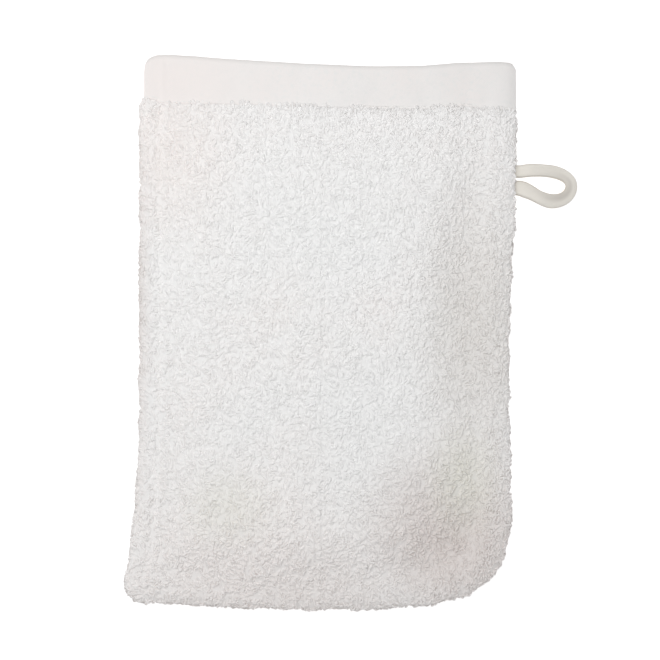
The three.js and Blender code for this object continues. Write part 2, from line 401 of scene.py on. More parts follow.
def material(name, colour, roughness, sheen):
    """A plain material. Where nodes feed the colour, this one is only a fallback."""
    made = bpy.data.materials.new(name)
    made.use_nodes = True
    shader = made.node_tree.nodes["Principled BSDF"]
    shader.inputs["Base Color"].default_value = (*colour, 1)
    shader.inputs["Roughness"].default_value = roughness
    shader.inputs["Sheen Weight"].default_value = sheen
    shader.inputs["Sheen Roughness"].default_value = 0.6
    shader.inputs["Specular IOR Level"].default_value = 0.25
    return made, made.node_tree, shader


def feed(tree, socket, value):
    """Links a socket to another node's output, or sets the socket itself. A colour gets its alpha."""
    if isinstance(value, bpy.types.NodeSocket):
        tree.links.new(value, socket)
    else:
        socket.default_value = (*value, 1) if socket.type == "RGBA" else value


def node(tree, kind, **inputs):
    made = tree.nodes.new(kind)
    for key, value in inputs.items():
        feed(tree, made.inputs[key.replace("_", " ")], value)
    return made


def maths(tree, operation, a, b):
    made = tree.nodes.new("ShaderNodeMath")
    made.operation = operation
    for socket, value in zip(made.inputs, (a, b)):
        feed(tree, socket, value)
    return made.outputs[0]


def place(tree):
    return tree.nodes.new("ShaderNodeTexCoord").outputs["Object"]


def noise(tree, at, scale, detail):
    return node(tree, "ShaderNodeTexNoise", Vector=at, Scale=scale, Detail=detail).outputs["Fac"]


def between(tree, value, low, high):
    """0 below low, rising to 1 at high."""
    return node(tree, "ShaderNodeMapRange", Value=value, From_Min=low, From_Max=high).outputs["Result"]


def blend_colours(tree, factor, first, second):
    made = tree.nodes.new("ShaderNodeMix")
    made.data_type = "RGBA"
    tree.links.new(factor, made.inputs["Factor"])
    feed(tree, made.inputs["A"], first)
    feed(tree, made.inputs["B"], second)
    return made.outputs["Result"]


# Broad changes of the cotton's colour: the colour, then each patch's middle and half size in mm, and its
# strength. The whites are warm tints, and the cool grey and warm grey patches are painted shade.
WARM_WHITE = (0.99, 0.945, 0.925), (((-62, 75), (40, 52), 0.8), ((-35, -88), (80, 52), 0.6))
# Painted shade: a darker band down the right, over the hollow near the sewn side.
COOL_PAINTED_SHADE = (0.83, 0.8, 0.77), (((60, 3), (30, 80), 0.75),)
# Painted shade: darker over the lower right, towards the closed end and on the folded edge's rounded slope.
WARM_PAINTED_SHADE = (
    (0.825, 0.762, 0.735),
    (((51, -80), (48, 50), 1.0), ((0, -116), (130, 56), 0.45), ((-74, 10), (9, 105), 0.7)),
)
OLIVE_GREY = (0.86, 0.855, 0.77), (((56, -58), (20, 30), 0.6), ((-36, -68), (26, 22), 0.35))
TERRY_TINTS_AND_SHADE = (WARM_WHITE, COOL_PAINTED_SHADE, WARM_PAINTED_SHADE, OLIVE_GREY)
HEM_WHITE = (0.965, 0.885, 0.855), (((-62, 100), (60, 30), 0.7),)


def from_origin(tree, spread):
    """Distance of a mapped place from the mapping's origin."""
    away = tree.nodes.new("ShaderNodeVectorMath")
    away.operation = "LENGTH"
    tree.links.new(spread.outputs["Vector"], away.inputs[0])
    return away.outputs["Value"]


def patchwork(tree, at, patches):
    """How strong a set of patches is at each place. A patch fades out from its middle to its edge."""
    total = 0.0
    for (x, y), (wide, high), share in patches:
        location, scale = (-x / wide, -y / high, 0), (1 / (wide * MM), 1 / (high * MM), 0)
        spread = node(tree, "ShaderNodeMapping", Vector=at, Location=location, Scale=scale)
        near = node(tree, "ShaderNodeMapRange", Value=from_origin(tree, spread), To_Min=share, To_Max=0.0)
        near.interpolation_type = "SMOOTHSTEP"
        total = maths(tree, "MAXIMUM", near.outputs["Result"], total)
    return total


def tinted(tree, shader, plain, warm, cool, fine_scale, fine_dark, patchy=(), painted_shade=None):
    """Cotton colour: drifting warm and cool tints, warmer away from the middle, and a fine speck of darker
    yarn. Then come the broad patches, some of them painted shade, and painted shade where the mesh is marked
    for it."""
    at = place(tree)
    broad = noise(tree, at, 22.0, 2.0)
    tint = blend_colours(tree, between(tree, broad, 0.38, 0.62), warm, cool)
    spread = node(tree, "ShaderNodeMapping", Vector=at, Scale=(12.0, 8.5, 1.0))
    wander = maths(tree, "ADD", from_origin(tree, spread), maths(tree, "MULTIPLY", broad, 0.5))
    tint = blend_colours(tree, between(tree, wander, 0.65, 1.25), tint, warm)
    tint = blend_colours(tree, noise(tree, at, 55.0, 1.0), tint, plain)
    speck = between(tree, noise(tree, at, fine_scale, 3.0), 0.5, 0.72)
    tint = blend_colours(tree, speck, tint, fine_dark)
    # Broad patches: warm tints, and grey patches of painted shade.
    for colour, patches in patchy:
        tint = blend_colours(tree, patchwork(tree, at, patches), tint, colour)
    # Painted shade where the mesh is marked for it.
    if painted_shade:
        tint = blend_colours(tree, stored(tree, "painted_shade"), tint, painted_shade)
    tree.links.new(tint, shader.inputs["Base Color"])


def stored(tree, name):
    """A value kept on the mesh by marked."""
    made = tree.nodes.new("ShaderNodeAttribute")
    made.attribute_name = name
    return made.outputs["Fac"]


def bumped(tree, shader, height, strength, distance):
    made = node(tree, "ShaderNodeBump", Height=height, Strength=strength, Distance=distance)
    tree.links.new(made.outputs["Normal"], shader.inputs["Normal"])


def weave_height(tree, warp, weft):
    """Height of a plain weave: warp and weft threads, by their number per metre."""
    at = node(tree, "ShaderNodeSeparateXYZ", Vector=place(tree))
    over = maths(tree, "SINE", maths(tree, "MULTIPLY", at.outputs["X"], 2 * math.pi * warp), 0.0)
    under = maths(tree, "SINE", maths(tree, "MULTIPLY", at.outputs["Y"], 2 * math.pi * weft), 0.0)
    return maths(tree, "MULTIPLY", over, under)


def pile_material():
    made, tree, shader = material("terry_loops", (0.95, 0.94, 0.93), 0.95, 0.0)
    # The last colour is painted shade along the mitt's edges and under the hem's lower edge.
    tinted(
        tree, shader, plain=(0.986, 0.983, 0.98), warm=(0.994, 0.966, 0.955), cool=(0.983, 0.985, 0.984),
        fine_scale=900.0, fine_dark=(0.982, 0.979, 0.976), patchy=TERRY_TINTS_AND_SHADE, painted_shade=(0.47, 0.43, 0.405),
    )
    return made


def ground_material():
    made, tree, shader = material("terry_ground", (0.94, 0.93, 0.92), 0.95, 0.0)
    tinted(
        tree, shader, plain=(0.975, 0.97, 0.965), warm=(0.975, 0.965, 0.955), cool=(0.97, 0.97, 0.965),
        fine_scale=700.0, fine_dark=(0.96, 0.955, 0.95), patchy=TERRY_TINTS_AND_SHADE,
    )
    bumped(tree, shader, weave_height(tree, 1400.0, 1400.0), 0.5, 0.15 * MM)
    return made


def hem_material():
    made, tree, shader = material("flat_weave", (0.79, 0.775, 0.755), 0.85, 0.1)
    # The last colour is painted shade along the mouth's folded edge.
    tinted(
        tree, shader, plain=(0.91, 0.9, 0.89), warm=(0.955, 0.897, 0.872), cool=(0.897, 0.902, 0.896),
        fine_scale=600.0, fine_dark=(0.89, 0.88, 0.865), patchy=(HEM_WHITE,), painted_shade=(0.6, 0.585, 0.565),
    )
    bumped(tree, shader, weave_height(tree, 1500.0, 1100.0), 0.35, 0.1 * MM)
    return made


def thread_material():
    made, tree, shader = material("white_thread", (0.92, 0.91, 0.895), 0.55, 0.3)
    tinted(
        tree, shader, plain=(0.93, 0.92, 0.905), warm=(0.93, 0.91, 0.885), cool=(0.91, 0.91, 0.9),
        fine_scale=1500.0, fine_dark=(0.86, 0.85, 0.83),
    )
    return made


def tape_material():
    """Cream cotton, with painted shade on the tape's rolled edges and on the inside of its bend."""
    made, tree, shader = material("cream_tape", (0.8, 0.765, 0.69), 0.85, 0.1)
    at = place(tree)
    cream = blend_colours(tree, noise(tree, at, 800.0, 3.0), (0.915, 0.87, 0.785), (0.86, 0.815, 0.735))
    # Painted shade where the section's edges roll away and inside the bend.
    colour = blend_colours(tree, stored(tree, "painted_tape_shade"), cream, (0.52, 0.475, 0.425))
    tree.links.new(colour, shader.inputs["Base Color"])
    bumped(tree, shader, weave_height(tree, 1800.0, 1800.0), 0.4, 0.1 * MM)
    return made


def floor_material():
    made, _, shader = material("pale_floor", (0.93, 0.93, 0.93), 0.8, 0.0)
    shader.inputs["Emission Color"].default_value = (1, 1, 1, 1)
    shader.inputs["Emission Strength"].default_value = 0.55
    return made


# ---- Camera ----


VIEW_MIDDLE = (3.8 * MM, 1.6 * MM)
VIEW_WIDTH = 261.9 * MM  # at the height of MID


def add_camera():
    """Straight above the mitt, +Y up in the picture, far enough for a flat view."""
    lens, sensor = 85.0, 36.0
    data = bpy.data.cameras.new("camera")
    data.lens, data.sensor_width = lens, sensor
    data.clip_start, data.clip_end = 0.01, 10
    camera = bpy.data.objects.new("camera", data)
    height = VIEW_WIDTH / 2 / (sensor / 2 / lens)
    camera.location = (*VIEW_MIDDLE, MID + height)
    bpy.context.scene.collection.objects.link(camera)
    bpy.context.scene.camera = camera


add_camera()

# ---- Hanging loop ----
TAPE_WIDTH = 5.2 * MM
TAPE_THICK = 2.6 * MM
UPPER_LEG = 64.5 * MM  # the legs inside the seam
LOWER_LEG = 57.9 * MM
LOWER_ROOT = 57.7 * MM  # the lower leg where it comes out
LOOP_REACH = 100.1 * MM  # the far end of the centreline
LOOP_REST = TAPE_THICK / 2 + 0.5 * MM  # height of the centreline where the tape lies down
TAPE_SIDES = 40
TAPE_RIBS = 20


def loop_path():
    """The tape's centreline: in from the seam, out along the upper leg, round and back."""
    tail, root = tails_low.x + 1.5 * MM, LOOP_HINGE[0]
    plan = [
        (tail, UPPER_LEG),
        (root - 3 * MM, UPPER_LEG),
        (root, UPPER_LEG),
        (84 * MM, 65.0 * MM),
        (91.2 * MM, 64.8 * MM),
        (96.4 * MM, 63.6 * MM),
        (99.5 * MM, 61.2 * MM),
        (LOOP_REACH, 58.3 * MM),
        (98.8 * MM, 55.5 * MM),
        (95.8 * MM, 53.5 * MM),
        (91.7 * MM, 52.9 * MM),
        (87.5 * MM, 54.0 * MM),
        (83.2 * MM, 56.2 * MM),
        (root, LOWER_ROOT),
        (root - 3 * MM, LOWER_LEG),
        (tail, LOWER_LEG),
    ]
    share = [(x - root) / (LOOP_REACH - root) for x, _ in plan]
    heights = [MID + (LOOP_REST - MID) * float(smooth((s - 0.25) / 0.7)) for s in share]
    points = [(x, y, z) for (x, y), z in zip(plan, heights)]
    return respaced(spline(points, 400), 0.35 * MM)


def hanging_loop():
    """One tube of rolled, ribbed tape. It is widest past the bend and at the root of its lower leg."""
    path = loop_path()
    at = lengths(path)
    share = at / at[-1]
    along = np.gradient(path, axis=0)
    along /= np.linalg.norm(along, axis=1)[:, None]
    sideways = np.cross([0, 0, 1.0], along)
    sideways /= np.linalg.norm(sideways, axis=1)[:, None]
    upwards = np.cross(along, sideways)
    bend = bump((share - 0.52) / 0.17)
    roll = math.radians(-26) * bend + math.radians(10) * bump((share - 0.78) / 0.07)
    across = sideways * np.cos(roll)[:, None] + upwards * np.sin(roll)[:, None]
    over = np.cross(along, across)
    at_root = 0.2 * bump((share - 0.85) / 0.07)
    past_bend = 0.12 * bump((share - 0.62) / 0.13)
    width = TAPE_WIDTH * (0.97 + 0.02 * np.sin(share * 40) + at_root + past_bend)
    thick = TAPE_THICK * (1 + 0.05 * np.sin(share * 31 + 1) - 0.1 * bend)
    ring = np.arange(TAPE_SIDES)
    angle = 2 * math.pi * ring / TAPE_SIDES
    ribs = 1 + 0.018 * np.cos(angle * TAPE_RIBS)
    flat = np.abs(np.cos(angle)) ** 0.85 * np.sign(np.cos(angle)) * ribs
    tall = np.abs(np.sin(angle)) ** 0.8 * np.sign(np.sin(angle)) * ribs
    crease = 1 - 0.16 * bump(np.cos(angle) / 0.28)
    knit = 1 + 0.02 * np.sin(at[:, None] / (0.9 * MM) * 2 * math.pi + 3 * angle)
    points = (
        path[:, None, :]
        + across[:, None, :] * (width[:, None] / 2 * flat * knit)[:, :, None]
        + over[:, None, :] * (thick[:, None] / 2 * (tall * crease) * knit)[:, :, None]
    )
    points = np.vstack([points.reshape(-1, 3), path[:1], path[-1:]])
    quads = grid_quads(len(path), TAPE_SIDES, closed=True)[:, ::-1]
    first, last = len(points) - 2, len(points) - 1  # the middles of the two ends
    after, far = np.roll(ring, -1), (len(path) - 1) * TAPE_SIDES
    near_cap = np.column_stack([ring, after, np.full(TAPE_SIDES, first)])
    far_cap = np.column_stack([far + after, far + ring, np.full(TAPE_SIDES, last)])
    caps = np.vstack([near_cap, far_cap])
    tape = piece_from("loop_tape", points, quads, caps)
    # Painted shade: darker on the section's rolled edges and on the inner side of the bend.
    rolled = smooth((np.abs(np.cos(angle)) - 0.65) / 0.35)[None, :] * 0.75
    inner = smooth((0.25 - np.cos(angle)) / 0.6)[None, :] * bump((share[:, None] - 0.57) / 0.2)
    shade = np.append(np.maximum(rolled, 0.65 * inner).ravel(), [0.0, 0.0])
    marked(tape, "painted_tape_shade", shade)
    tape.data.materials.append(tape_material())
    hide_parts("hanging_loop", "loop_tails")
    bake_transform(tape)


hanging_loop()

# ---- Front pieces, materials and halves ----


def on_front(piece, half):
    """Applies a piece of the front's transform to its mesh; the piece stays where it is."""
    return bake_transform(piece)


PILE, GROUND, HEM, THREAD_LOOK = pile_material(), ground_material(), hem_material(), thread_material()


def finished(piece, made):
    piece.data.materials.append(made)
    return piece


HALVES = ("left", "right")


def halves_of(x):
    """Which of the front's halves each point belongs to."""
    return {"left": x < 0, "right": x >= 0}


# ---- Ground cloth ----


CLOTH_STEP = 2.5 * MM


def ground_depth(x, y):
    """Depth of the ground's outer face, which dives under the hem's lower edge."""
    return GROUND_DEPTH + TUCK_DEPTH * smooth((y - hem_line(x) + 1.0 * MM) / TUCK)


def cloth_mesh(side):
    """Points and triangles of one side's broad face, and the rows of points round its rounded edge."""
    covered = BASE[:, 1] < hem_line(BASE[:, 0]) + TUCK
    line, at = BASE[covered], BASE_AT[covered]
    depth = ground_depth(line[:, 0], line[:, 1])
    rings = [edge_ring(at, np.full(len(at), turn), depth, side)[0] for turn in EDGE_TURNS]
    step = CLOTH_STEP
    top_x = np.linspace(line[-1][0], line[0][0], int((SEAM_LINE - FOLD_LINE) / step))[1:-1]
    polygon = np.vstack([line, np.column_stack([top_x, hem_line(top_x) + TUCK])])
    below = np.column_stack([top_x, hem_line(top_x) - 1.0 * MM])
    gx, gy = np.meshgrid(np.arange(-78 * MM, 78 * MM, step), np.arange(END_Y, HEM_TOP - MM, step))
    gx = np.append(gx, np.zeros(len(gy)))
    gy = np.append(gy.ravel(), gy[:, 0])
    grid = np.column_stack([gx.ravel(), gy.ravel()])
    grid = grid[inside(grid, polygon) & (grid[:, 1] < hem_line(grid[:, 0]) - 1.5 * MM)]
    grid = grid[edge_distance(grid)[0] > 0.6 * step]
    outline = len(polygon)
    flat = np.vstack([polygon, below, grid])
    borders = [(i, (i + 1) % outline) for i in range(outline)]
    verts, _, triangles, _, _, _ = delaunay_2d_cdt([Vector(p) for p in flat], borders, [], 0, 1e-7)
    plan = np.array([tuple(v) for v in verts])
    triangles = np.array(triangles)
    triangles = triangles[inside(plan[triangles].mean(axis=1), polygon)]
    points, _ = face(*plan.T, ground_depth(*plan.T), side)
    return points, triangles, rings


def ground_cloth(name, side, half):
    """The woven ground of one side, or of one half of it, with its face and its rounded edge welded."""
    points, triangles, rings = cloth_mesh(side)
    walls = grid_quads(len(rings), len(rings[0]))
    everything = np.vstack([*rings, points])
    triangles = triangles + len(everything) - len(points)
    corner = everything[triangles]
    facing = np.cross(corner[:, 1] - corner[:, 0], corner[:, 2] - corner[:, 0])[:, 2] * side < 0
    triangles[facing] = triangles[facing][:, ::-1]
    if side > 0:
        walls = walls[:, ::-1]
    if half:
        walls = walls[halves_of(everything[walls].mean(axis=1)[:, 0])[half]]
        triangles = triangles[halves_of(everything[triangles].mean(axis=1)[:, 0])[half]]
    used = np.unique(np.concatenate([walls.ravel(), triangles.ravel()]))
    renumber = np.zeros(len(everything), int)
    renumber[used] = np.arange(len(used))
    piece = piece_from(name, everything[used], renumber[walls], renumber[triangles])
    weld = piece.modifiers.new("weld", "WELD")
    weld.merge_threshold = 0.02 * MM
    thickness = piece.modifiers.new("thickness", "SOLIDIFY")
    thickness.thickness = GROUND_THICK
    thickness.offset = -1
    return piece


def ground():
    for half in HALVES:
        piece = finished(ground_cloth(f"front_cloth_{half}", 1, half), GROUND)
        on_front(piece, half)
        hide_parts("front_panel")
    piece = finished(ground_cloth("back_cloth", -1, None), GROUND)
    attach(piece, "mitt")
    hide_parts("back_panel")


ground()

# ---- Terry loops ----
LOOPS_PER_PIECE = 3700  # keeps each piece under 200,000 triangles
LOOP_HEIGHT = (1.3, 1.9)  # in mm
LOOP_WIDTH = (1.0, 1.6)  # in mm
LOOP_LEAN = (0.9, 1.36)  # in radians
LOOP_RINGS = 7
ROW_PITCH = 0.87  # of the spacing in a row
DISORDER = 0.28  # of the spacing
ROOT_DEPTH = 0.35 * MM  # how deep a loop is rooted in the ground
FLOOR_GAP = 0.04 * MM  # no yarn goes lower
SPAN = 80 * MM  # a little more than half the mitt's width
SEAM_GAP = 0.14  # in radians of turn, bare of loops on the seam
WORN_SHORTER = 0.35  # how much shorter a loop is where its painted-shade mark is full
SHADE_STRENGTH = 0.9  # how much of the painted shade colour a fully marked loop takes
INSIDE_LOW = 15 * MM  # the pocket's loops start at this height along Y
INSIDE_SPACING = 1.9 * MM
INSIDE_LENGTH = 0.75  # of an outer loop


def yarn_loops(roots, normals, seed, length):
    """An arch of yarn on each root, leaning and turned in patches as washed terry lies."""
    draw = np.random.default_rng(seed)
    count = len(roots)
    x, y = roots[:, 0], roots[:, 1]
    reference = np.where(np.abs(normals[:, 1:2]) > 0.8, [[0, 0, 1.0]], [[0, 1.0, 0]])
    along = reference - normals * np.sum(reference * normals, axis=1)[:, None]
    along /= np.linalg.norm(along, axis=1)[:, None]
    aside = np.cross(normals, along)
    # Yaw turns the arch about the normal, and way is the direction that it leans in.
    yaw = 0.7 * ripples(x, y, 14 * MM, seed + 1) + draw.normal(0, 0.55, count)
    wide = along * np.cos(yaw)[:, None] + aside * np.sin(yaw)[:, None]
    way = 2.4 * ripples(x, y, 11 * MM, seed + 2) + draw.normal(0, 0.8, count)
    lean_to = along * np.cos(way)[:, None] + aside * np.sin(way)[:, None]
    lean = draw.uniform(*LOOP_LEAN, count)[:, None]
    up = normals * np.cos(lean) + lean_to * np.sin(lean)
    height = draw.uniform(*LOOP_HEIGHT, count)[:, None] * MM * length[:, None]
    width = draw.uniform(*LOOP_WIDTH, count)[:, None] * MM
    u = np.linspace(0, 1, LOOP_RINGS)
    arch = np.sin(math.pi * u)[None, :] ** 0.7
    spread = -np.cos(math.pi * u)[None, :] * (0.75 + 0.35 * np.sin(math.pi * u)[None, :])
    curl = draw.normal(0, 0.28, count)[:, None] * MM * np.sin(2 * math.pi * u)[None, :]
    third = np.cross(wide, up)
    centres = (
        (roots - normals * ROOT_DEPTH)[:, None, :]
        + up[:, None, :] * (height * arch)[:, :, None]
        + wide[:, None, :] * (width / 2 * spread)[:, :, None]
        + third[:, None, :] * curl[:, :, None]
    )
    radius = YARN * draw.uniform(0.85, 1.2, count)[:, None] * (0.85 + 0.25 * arch)
    points, quads = tubes(centres, radius, third)
    points[:, 2] = np.maximum(points[:, 2], FLOOR_GAP)
    return points, quads


def jittered(low_x, high_x, low_y, high_y, spacing, draw):
    """Staggered rows of points with some disorder."""
    rows = np.arange(low_y, high_y, spacing * ROW_PITCH)
    x, y = np.meshgrid(np.arange(low_x, high_x, spacing), rows)
    x[1::2] += spacing / 2
    x = x + draw.uniform(-DISORDER, DISORDER, x.shape) * spacing
    y = y + draw.uniform(-DISORDER, DISORDER, y.shape) * spacing
    return x.ravel(), y.ravel()


def face_places(side, spacing, seed, draw):
    """Roots, normals and painted shade on one side's broad face, with more loops under the hem's edge."""
    x, y = jittered(-SPAN, SPAN, END_Y, HEM_TOP, spacing, draw)
    more_x, more_y = jittered(-SPAN, SPAN, HEM_LINE - 2.2 * MM, HEM_LINE, 1.3 * spacing, draw)
    x, y = np.append(x, more_x), np.append(y, more_y + hem_line(more_x) - HEM_LINE)
    top = hem_line(x) - 0.4 * MM + 0.6 * MM * ripples(x, np.zeros_like(x), 8 * MM, seed + 5)
    keep = inside(np.column_stack([x, y]), face_polygon()) & (y < top)
    points, normals = face(x[keep], y[keep], GROUND_DEPTH, side)
    # Painted shade just under the hem's lower edge, more of it towards the right.
    under_hem = bump((top - y)[keep] / (1.6 * MM))
    return points, normals, 0.2 * under_hem * smooth((x[keep] + 70 * MM) / (90 * MM))


def edge_places(side, spacing, draw):
    """The same on its rounded edge, a row at a time from the middle plane up. The edge takes painted shade,
    most of all along the seam, and no loop stands on the seam itself."""
    rows = int(round((ROUND - GROUND_DEPTH) * math.pi / 2 / spacing))
    for row in range(rows):
        outer = np.arange(0, OUTER_AT[-1], spacing)
        at = np.interp(outer + draw.uniform(-0.3, 0.3, len(outer)) * spacing, OUTER_AT, BASE_AT)
        x, y = base_place(at)[0].T
        at = at[y < hem_line(x) - 0.3 * MM]
        turn = (row + 0.5 + draw.uniform(-0.3, 0.3, len(at))) / rows * math.pi / 2
        sewn = np.interp(at, BASE_AT, BASE_SEWN)
        clear = (sewn < 0.5) | (turn > SEAM_GAP)
        # Painted shade on the edge, darkest near the middle plane and along the seam.
        painted_shade = (0.35 + 0.65 * sewn) * (1 - smooth(turn / 0.8))
        yield *edge_ring(at[clear], turn[clear], GROUND_DEPTH, side), painted_shade[clear]


def loop_places(side, spacing, seed):
    """Roots, normals and painted shade over the whole of one side."""
    draw = np.random.default_rng(seed)
    parts = [face_places(side, spacing, seed, draw), *edge_places(side, spacing, draw)]
    return [np.concatenate(part) for part in zip(*parts)]


def pile_pieces(name, points, normals, seed, length=1.0, painted_shade=None):
    """Loops in bands along Y, each its own piece. Where marked for painted shade, loops are shorter and take
    the painted shade colour.
    """
    painted_shade = np.zeros(len(points)) if painted_shade is None else painted_shade
    bands = max(1, math.ceil(len(points) / LOOPS_PER_PIECE))
    order = np.argsort(points[:, 1])
    pieces = []
    for band, members in enumerate(np.array_split(order, bands)):
        shorter = length * (1 - WORN_SHORTER * painted_shade[members])
        verts, quads = yarn_loops(points[members], normals[members], seed + 10 * band, shorter)
        piece = piece_from(f"{name}_{band + 1}", verts, quads)
        marked(piece, "painted_shade", np.repeat(SHADE_STRENGTH * painted_shade[members], len(verts) // len(members)))
        pieces.append(finished(piece, PILE))
    return pieces


def lay_pile(side, name, points, normals, seed, length, painted_shade):
    """Loops over one side: the back's ride on the mitt, and the front's are split into halves."""
    if side < 0:
        for piece in pile_pieces(name, points, normals, seed, length, painted_shade):
            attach(piece, "mitt")
        return
    for half, part in halves_of(points[:, 0]).items():
        for piece in pile_pieces(f"{name}_{half}", points[part], normals[part], seed, length, painted_shade[part]):
            on_front(piece, half)


def outer_pile():
    for side, name, seed in ((1, "front_pile", 101), (-1, "back_pile", 202)):
        points, normals, painted_shade = loop_places(side, LOOP_SPACING, seed)
        lay_pile(side, name, points, normals, seed, 1.0, painted_shade)


def inner_pile():
    """Shorter loops on the pocket's inside, where the open mouth shows them."""
    high = HEM_LINE - 3 * MM
    for side, name, seed in ((1, "inner_pile_front", 303), (-1, "inner_pile_back", 404)):
        draw = np.random.default_rng(seed)
        x, y = jittered(FOLD_LINE, SEAM_LINE - 3 * MM, INSIDE_LOW, high, INSIDE_SPACING, draw)
        points, normals = face(x, y, INSIDE_DEPTH, side)
        lay_pile(side, name, points, -normals, seed, INSIDE_LENGTH, np.zeros(len(points)))


outer_pile()
inner_pile()

# ---- Hem ----
HEM_OUTER = 1.5 * MM  # depth of the middle of the outer ply
HEM_INNER = 2.8 * MM  # and of the inner ply
HEM_THICK = 0.9 * MM
HEM_EDGE_SHADE = 0.7 * MM  # the mouth's folded edge gets painted shade over this width


def hem_profile():
    """The hem's course from the outer ply's lower edge over the mouth's fold and down the inner ply, in rows
    of (share of the way down to the lower edge, distance back from the mouth's edge, depth), and the fold's
    radius. Only the fold uses the distance back."""
    radius = (HEM_INNER - HEM_OUTER) / 2
    share = np.linspace(1, 0, 20)
    rows = [(value, 0.0, HEM_OUTER) for value in share[:-1]]
    for angle in np.linspace(0, math.pi, 9):
        rows.append((0.0, radius * (1 - math.sin(angle)), HEM_OUTER + radius * (1 - math.cos(angle))))
    rows += [(value, 0.0, HEM_INNER) for value in share[::-1][1:]]
    return rows, radius


def hem_columns(half):
    """The columns round the girth, as arrays of their base x, turn and outward direction."""
    columns = []
    fold = [(FOLD_LINE, turn, -1) for turn in EDGE_TURNS]
    seam = [(SEAM_LINE, turn, 1) for turn in EDGE_TURNS[::-1]]
    step = 1.0 * MM
    if half != "right":
        columns += fold
        inner = np.linspace(FOLD_LINE, 0, int(-FOLD_LINE / step))
        columns += [(x, math.pi / 2, 0) for x in inner[1:]]
    if half != "left":
        inner = np.linspace(0, SEAM_LINE, int(SEAM_LINE / step))
        columns += [(x, math.pi / 2, 0) for x in (inner[:-1] if half else inner[1:-1])]
        columns += seam
    return np.array(columns).T.copy()[:, :, None]


def hem_surface(columns, y, depth, side):
    """Points on the hem for columns by rows of y and depth. It reaches past the sewn side's base line and a
    little less far at the fold."""
    base, turn, out = columns
    groove = 0.6 * MM * (out > 0) * bump(turn / 0.25)
    fullness = 1.2 * MM * (out > 0) - 0.6 * MM * (out < 0)
    reach = (ROUND - depth - groove + fullness) * np.cos(turn)
    x = base + out * reach
    lift = (ROUND - depth) * np.sin(turn)
    if side > 0:
        lift = lift + front_relief(base + 0 * y, y) * smooth(turn / (math.pi / 2))
    return np.stack([x + 0 * y, y, MID + side * lift], axis=-1)


def hem_piece(name, side, half):
    """The hem over one half of the girth, or the whole, as a closed band of cloth."""
    columns = hem_columns(half)
    base, turn, out = columns
    rows, radius = hem_profile()
    share, gone, depth = np.array(rows).T.copy()[:, None, :]
    edge = mouth_edge(base + out * (ROUND - HEM_OUTER) * np.cos(turn))
    low = hem_line(base) - 0.5 * MM
    y = edge - gone - (share > 0) * (share * (edge - radius - low) + radius)
    depth = depth + 0.12 * MM * ripples(base + 0 * y, y, 12 * MM, 31) * np.sin(turn)
    depth = depth + 0.25 * MM * ripples(base + 0 * y, 0.4 * y, 26 * MM, 33) * np.sin(turn)
    run_y, run_depth = np.gradient(y, axis=1), np.gradient(depth, axis=1)
    run = np.hypot(run_y, run_depth)
    rails = []
    for way in (-1, 1):
        rail_y = y - way * HEM_THICK / 2 * run_depth / run
        rail_depth = depth + way * HEM_THICK / 2 * run_y / run
        rails.append(hem_surface(columns, rail_y, rail_depth, side))
    points = np.concatenate([rails[0], rails[1][:, ::-1]], axis=1)
    rows_round = points.shape[1]
    quads = grid_quads(len(base), rows_round, closed=True)
    first = np.arange(rows_round // 2 - 1)
    strip = np.stack([first, first + 1, rows_round - 2 - first, rows_round - 1 - first], axis=1)
    walls = points.reshape(-1, 3)
    quads = np.vstack([quads, strip[:, ::-1], strip + len(walls) - rows_round])
    if side < 0:
        quads = quads[:, ::-1]
    piece = piece_from(name, walls, quads)
    # Painted shade along the mouth's folded edge, on both plies.
    outer, inner = (bump((edge - rail[..., 1]) / HEM_EDGE_SHADE) for rail in rails)
    marked(piece, "painted_shade", (0.5 * np.concatenate([outer, inner[:, ::-1]], axis=1)).ravel())
    mesh = piece.data
    for cap in mesh.polygons[-2 * len(strip) :]:
        cap.use_smooth = False
        for corner in cap.loop_indices:
            mesh.edges[mesh.loops[corner].edge_index].use_edge_sharp = True
    return finished(piece, HEM)


def hem():
    for half in HALVES:
        piece = hem_piece(f"front_hem_{half}", 1, half)
        on_front(piece, half)
        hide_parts("front_hem")
    piece = hem_piece("back_hem_cloth", -1, None)
    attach(piece, "mitt")
    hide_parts("back_hem")


hem()

# ---- Sewing ----
STITCH = 2.5 * MM
STITCH_PITCH = 3.0 * MM
THREAD = 0.2 * MM
STITCH_RISE = 0.7 * MM  # the row runs this far above the hem's lower edge
ALLOWANCE = 3.3 * MM  # width of the cloth inside the seam
WRAP = 0.62  # the overlock's half turn round the raw edges, in half circles


def stitch_row(name, side, half):
    """Lockstitches that hold the hem, a little above the loops' edge."""
    columns = hem_columns(half)
    y = hem_line(columns[0]) + STITCH_RISE
    line = hem_surface(columns, y, HEM_OUTER - HEM_THICK / 2, side)[:, 0]
    at = lengths(line)
    starts = np.arange(0.5 * MM, at[-1] - STITCH, STITCH_PITCH)
    u = np.linspace(0, 1, 7)
    places = starts[:, None] + u[None, :] * STITCH
    centres = np.stack([np.interp(places, at, line[:, i]) for i in range(3)], axis=-1)
    centre = np.array([0, 0, MID])
    away = centres * [0, 0, 1] - centre
    away[..., 0] = np.sign(centres[..., 0]) * np.maximum(np.abs(centres[..., 0]) - SEAM_LINE + ROUND, 0)
    away /= np.linalg.norm(away, axis=-1, keepdims=True)
    # The thread rises between its two holes and dives into the cloth at both.
    centres = centres + away * ((np.sin(math.pi * u) ** 0.5 * 0.42 - 0.36) * MM)[None, :, None]
    across = np.tile([0, 1.0, 0], (len(starts), 1))
    points, quads = tubes(centres, np.full(centres.shape[:2], THREAD), across)
    return finished(piece_from(name, points, quads), THREAD_LOOK)


